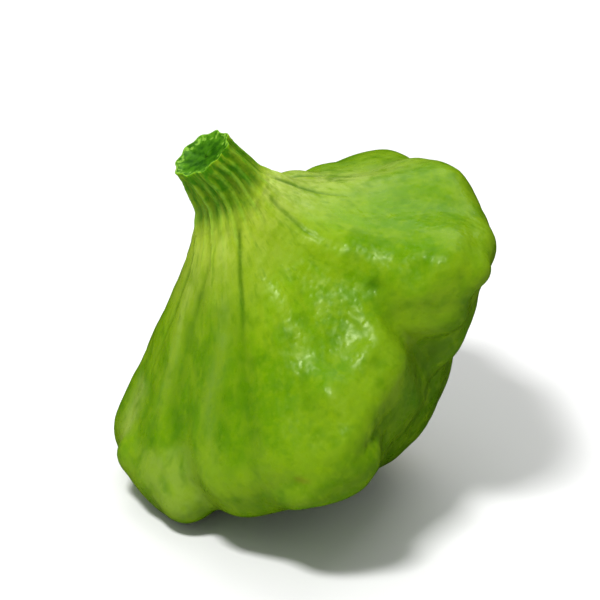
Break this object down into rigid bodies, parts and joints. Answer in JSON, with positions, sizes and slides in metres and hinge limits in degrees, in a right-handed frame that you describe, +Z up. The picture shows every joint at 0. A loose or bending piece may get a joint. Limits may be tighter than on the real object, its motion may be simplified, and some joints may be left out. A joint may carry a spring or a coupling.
{
  "type": "pattypan squash",
  "caption": "Whole green pattypan squash with a scalloped rim, conical shoulder and short cut stem, lying tipped on its dome and rim.",
  "frame": {"origin": "on the surface it rests on, under the middle of the lying squash", "axes": "+Z up from the resting surface; the stem end leans up and towards -X; -Y is the side it is usually seen from"},
  "size_m": [0.0636, 0.0764, 0.0663],
  "materials": {
    "skin": "waxy yellow-green squash skin with fine pale speckles, thin creases and small dents",
    "stem": "satin ribbed green squash stem with a darker dull cut end"
  },
  "bodies": {
    "root": {"fruit": "skin", "stem": "stem"}
  },
  "joints": []
}
